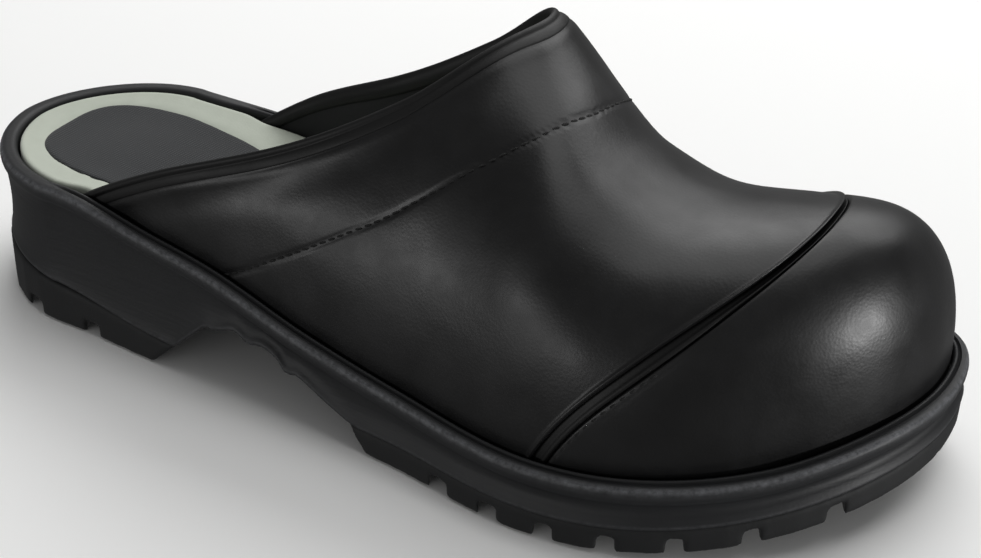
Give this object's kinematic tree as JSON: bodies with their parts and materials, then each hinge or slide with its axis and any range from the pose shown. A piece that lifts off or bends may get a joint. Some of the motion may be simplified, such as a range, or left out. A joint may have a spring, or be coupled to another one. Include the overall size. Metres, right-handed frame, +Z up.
{
  "type": "chef clog",
  "caption": "Backless leather clog for the right foot: closed rounded toe with a raised cross seam, rolled collar edge, cupped footbed in a raised rim, lugged heel and forefoot treads",
  "frame": {"origin": "on the floor under the middle of the part's box; heel and forefoot treads stand on z = 0", "axes": "+X from the heel to the toe, +Y to the inner side of the foot, +Z up"},
  "size_m": [0.296, 0.1162, 0.11],
  "materials": {
    "upper_leather": "satin smooth grain",
    "edge_leather": "satin rolled edge",
    "sole_unit": "matt moulded skin, lightly scuffed on the rim",
    "tread": "matt moulded rubber",
    "footbed_cover": "matt pale grey-green lining",
    "heel_pad": "matt dark fine weave"
  },
  "bodies": {
    "root": {"outsole_heel": "tread", "outsole_forefoot": "tread", "midsole": "sole_unit", "insole": "footbed_cover", "heel_pad": "heel_pad", "upper": "upper_leather", "toe_piece": "upper_leather", "seam_piping": "edge_leather", "collar_binding": "edge_leather"}
  },
  "joints": []
}
